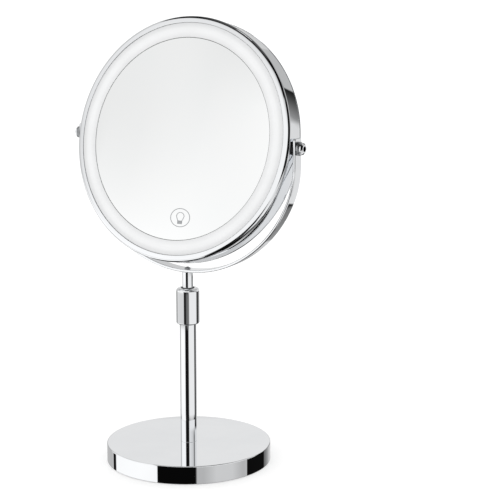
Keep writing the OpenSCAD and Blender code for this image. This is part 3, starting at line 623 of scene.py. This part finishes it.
lathed("mirror_rear",
       [rear_face(rear_r * k / REAR_STEPS, 0) for k in range(REAR_STEPS + 1)]
       + [rear_face(rear_r * (1 - k / REAR_STEPS), REAR_GLASS) for k in range(REAR_STEPS + 1)],
       "head", "mirror", "rear_mirror", place=HEAD)


# ---------- pivots ----------

def both_sides(outline):
    """The same turned outline on both pivots."""
    bm = bmesh.new()
    for side in (1, -1):
        lathe(bm, outline, on_tilt_axis(side), PIVOT_TURNS)
    return bm


def pivot_size(node_name):
    """Outer end of a pair of pivot pieces, measured from the stem's axis, and their radius."""
    low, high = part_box(node_name)
    return high.x, (high.z - low.z) / 2


PIVOT_R, PIVOT_SLIP = 2.5 * MM, 0.05 * MM
SPACER, SPACER_EDGE = 0.65 * MM, 0.15 * MM
WASHER, WASHER_EDGE = 2 * MM, 0.4 * MM
bore = PIVOT_R + PIVOT_SLIP
spacer_end = pivot_size("pivot_spacers")[0]
washer_end, washer_r = pivot_size("pivot_washers")
piece("pivot_spacer_rings", both_sides(fillet([
    (bore, spacer_end - SPACER, 0), (washer_r, spacer_end - SPACER, SPACER_EDGE),
    (washer_r, spacer_end, SPACER_EDGE), (bore, spacer_end, 0)], 3)),
    "head", "dark_nylon", "pivot_spacers")
piece("pivot_washer_rings", both_sides(fillet([
    (bore, washer_end - WASHER, 0), (washer_r, washer_end - WASHER, WASHER_EDGE),
    (washer_r, washer_end, WASHER_EDGE), (bore, washer_end, 0)], 5)),
    "head", "steel", "pivot_washers")

CAP_CROWN, CAP_SIDE, CAP_SLOPE = 1.2 * MM, 1.3 * MM, 1.6 * MM
CAP_EDGE, CAP_TOP_EDGE = 0.25 * MM, 0.3 * MM
NECK_IN, NECK_EDGE = 0.8 * MM, 0.1 * MM
THREAD_R, THREAD_LENGTH, THREAD_EDGE, THREAD_TO_WALL = 2 * MM, 4.8 * MM, 0.2 * MM, 0.1 * MM
CAP_HEX_R, CAP_HEX_REACH = 2.2 * MM, 2.25 * MM
cap_end, cap_r = pivot_size("pivot_screws")
cap_start, cap_shoulder = washer_end + PIVOT_SLIP, cap_end - CAP_CROWN - CAP_SIDE
thread_end = wall_r + THREAD_TO_WALL
thread_start = -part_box("pivot_inserts")[0].x - THREAD_LENGTH
cap_sockets = bmesh.new()
for side in (1, -1):
    prism(cap_sockets, polygon(CAP_HEX_R, 6), cap_end - CAP_CROWN, cap_end + CUT_MARGIN, on_tilt_axis(side))
piece("pivot_cap_screws", both_sides(fillet([
    (0, thread_start, 0), (THREAD_R, thread_start, THREAD_EDGE), (THREAD_R, thread_end, 0),
    (PIVOT_R, thread_end, 0), (PIVOT_R, cap_start, 0), (cap_r - NECK_IN, cap_start, NECK_EDGE),
    (cap_r - NECK_IN, cap_shoulder, 0), (cap_r, cap_shoulder, CAP_EDGE),
    (cap_r, cap_end - CAP_CROWN, CAP_EDGE), (cap_r - CAP_SLOPE, cap_end, CAP_TOP_EDGE), (0, cap_end, 0)], 4)),
    "head", "chrome", "pivot_screws", cutter=cap_sockets,
    # Its key sockets carry painted shade: near black inside the hex hollows
    material=chrome("chrome_with_painted_socket_shade", METAL_WAVE, CAP_HEX_REACH))


# ---------- carried-over nodes ----------

for part in frame["record"]["subparts"]:
    shown = frame["nodes"][part["node"]]
    shown.data.materials.clear()
    shown.data.materials.append(FINISHES[part["material_slot"]])
    smooth(shown.data)


# ---------- floor ----------

FLOOR_SIZE, FLOOR_CELLS, FLOOR_GLOW = 60.0, 8, 0.45
WHITE = (1, 1, 1, 1)
floor_bm = bmesh.new()
bmesh.ops.create_grid(floor_bm, x_segments=FLOOR_CELLS, y_segments=FLOOR_CELLS, size=FLOOR_SIZE / 2)
floor = add_object("floor", mesh_from(floor_bm, "floor"))
floor_paint = finish("pale_floor", (0.60, 0.60, 0.60), (0.61, 0.61, 0.61), (0.6, 0.7), patch=0.5)
floor_shader = floor_paint.node_tree.nodes["Principled BSDF"]
floor_shader.inputs["Emission Color"].default_value = WHITE
floor_shader.inputs["Emission Strength"].default_value = FLOOR_GLOW
floor.data.materials.append(floor_paint)
floor.visible_glossy = False


# ---------- tent ----------

# What the polished parts reflect: a round tent of white cloth with grey and black cards hung in it. Only
# reflections see it. Directions are in degrees round the stem, 0 to the front and 90 to the right. Heights
# are in millimetres.
TENT_RADIUS = 0.30
TENT_LOW, FINE_LOW, FINE_HIGH, TENT_HIGH = -3000, -200, 700, 3000
COARSE, FINE = 100, 5
TENT_GAIN = 1.07

# The cloth's tone on screen: its middle, how far it swings round the stem, the direction where it is
# brightest, and how much it loses per millimetre above FADE_START
CLOTH_TONE, CLOTH_SWING, CLOTH_BRIGHTEST = 0.89, 0.11, -45
CLOTH_FADE, FADE_START = 0.0004, 220

# Each card: edges left and right, edges below and above, tone on screen at its left and right edge,
# softness of its upright edges in degrees and of its level edges in millimetres. The tent's seam is at the
# back, at 180 degrees, and edges at 200 lie past it. A card covers those before it in this list.
Card = namedtuple("Card", "left right low high tone_left tone_right soft soft_level")
BLACK, GREY = 0.05, 0.5
CARDS = [
    Card(-200, -88, -150, 225, 0.80, 0.70, 8, 10),          # grey card on the left
    Card(-88, -80, -130, -53, BLACK, BLACK, 1, 4),          # its black stand
    Card(-200, -120, 60, 225, 0.89, 0.88, 12, 10),          # white card behind it
    Card(130, 200, 98, 225, 0.87, 0.87, 5, 2),              # white card behind on the right
    Card(-200, -50, 225, 680, 0.80, 0.77, 8, 20),           # grey card high on the left
    Card(-70, -34, 300, 640, 0.88, 0.92, 12, 150),          # pale card beside it
    Card(-22, 44, 225, 430, 0.965, 0.965, 14, 60),          # bright card in front, by the head
    Card(108, 200, 215, 310, 0.88, 0.80, 4, 10),            # white card high behind on the right
    Card(44, 125, -53, 98, 0.92, 0.92, 8, 2),               # white card on the right
    Card(40, 111, -130, -53, 0.70, 0.70, 4, 5),             # grey card under it
    Card(58, 96, -130, -53, 0.79, 0.79, 16, 5),             # its brighter middle
    Card(-7.5, 41, -160, -53, 0.03, 0.03, 1, 5),            # black flag in front, by the base
    Card(-8, 38, -53, 190, BLACK, 0.1, 8, 5),               # black flag in front, by the stem
    Card(-84, -9, 42, 84, 0.84, 0.82, 8, 5),                # pale card on its left, by the collar
    Card(-200, -90, 42, 84, 0.75, 0.6, 6, 5),               # grey card left of that
    Card(12, 44, 42, 84, 0.34, 0.5, 5, 5),                  # grey card before the flag, by the collar
    Card(104, 128, 100, 200, GREY, GREY, 8, 6),             # grey gap between the right cards
    Card(48, 104, 215, 500, 0.08, 0.08, 8, 25),             # black flag on the right, by the head
    Card(32, 116, 505, 660, BLACK, BLACK, 8, 20),           # wider black flag over it
    Card(111.5, 152, -160, -53, BLACK, 0.06, 1, 5),         # black flag on the right, by the base
    Card(152, 176, -160, -53, 0.4, 0.78, 1, 5),             # grey card beside it
    Card(127, 150, -53, 98, 0.1, 0.1, 6, 2),                # black flag on the right, by the stem
    Card(150, 176, -53, 93, 0.46, 0.58, 2, 2),              # grey card beside it
    Card(130, 172, 92, 98, BLACK, BLACK, 1, 1),             # black batten over both
    Card(139, 151.5, 305, 425, 0.6, 0.08, 1, 25),           # small black flag behind, by the head
    Card(-200, 200, 660, 3000, GREY, GREY, 1, 50),          # grey roof
    Card(-150, 130, 640, 1000, BLACK, BLACK, 8, 30),        # black front of the roof
    Card(-200, 200, 1000, 3000, 0.3, 0.3, 1, 30),           # dark top of the roof
    Card(-200, 200, -3000, -160, 0.45, 0.45, 1, 30),        # dim ground
    Card(-170, 150, -3000, -150, 0.03, 0.03, 8, 30),        # black front of the ground
]


def linear(tone):
    """Light that shows on screen as this tone."""
    return tone / 12.92 if tone < 0.04 else ((tone + 0.055) / 1.055) ** 2.4


def within(value, low, high, soft):
    """1 between two edges and 0 outside them, with edges of that softness."""
    return min(1, max(0, (value - low) / soft + 0.5)) * min(1, max(0, (high - value) / soft + 0.5))


def tent_tone(degree, level):
    """Tone of the tent on screen in a direction and at a height."""
    tone = CLOTH_TONE + CLOTH_SWING * cos(radians(degree - CLOTH_BRIGHTEST))
    tone -= CLOTH_FADE * max(0, level - FADE_START)
    for card in CARDS:
        across = min(1, max(0, (degree - card.left) / (card.right - card.left)))
        cover = (within(degree, card.left, card.right, card.soft)
                 * within(level, card.low, card.high, card.soft_level))
        tone += (card.tone_left + (card.tone_right - card.tone_left) * across - tone) * cover
    return tone


tent_bm = bmesh.new()
glow = tent_bm.verts.layers.float.new("glow")
rings = []
for level in [*range(TENT_LOW, FINE_LOW, COARSE), *range(FINE_LOW, FINE_HIGH, FINE),
              *range(FINE_HIGH, TENT_HIGH + 1, COARSE)]:
    ring = []
    for degree in range(-180, 180):
        direction = radians(degree)
        vert = tent_bm.verts.new((TENT_RADIUS * sin(direction), -TENT_RADIUS * cos(direction), level * MM))
        vert[glow] = TENT_GAIN * linear(tent_tone(degree, level))
        ring.append(vert)
    rings.append(ring)
for here, there in zip(rings, rings[1:]):
    for k in range(360):
        tent_bm.faces.new([here[k], here[(k + 1) % 360], there[(k + 1) % 360], there[k]])
tent_paint = bpy.data.materials.new("tent_light")
tent_paint.use_nodes = True
tent_paint.node_tree.nodes.clear()
brightness = node(tent_paint, "ShaderNodeAttribute", attribute_name="glow").outputs["Fac"]
shine = node(tent_paint, "ShaderNodeEmission", {"Strength": brightness})
wire(tent_paint, shine.outputs[0], node(tent_paint, "ShaderNodeOutputMaterial").inputs["Surface"])
tent_paint.cycles.emission_sampling = "NONE"
tent = add_object("studio_tent", mesh_from(tent_bm, "studio_tent"))
tent.data.materials.append(tent_paint)
tent.visible_camera = tent.visible_diffuse = tent.visible_shadow = tent.visible_transmission = False


# ---------- surround and view ----------

SURROUND_STRENGTH = 1.08
world = bpy.data.worlds.new("studio")
bpy.context.scene.world = world
world.use_nodes = True
world.node_tree.nodes["Background"].inputs["Color"].default_value = WHITE
world.node_tree.nodes["Background"].inputs["Strength"].default_value = SURROUND_STRENGTH

scene = bpy.context.scene
scene.view_settings.view_transform = "Standard"
scene.view_settings.look = "None"
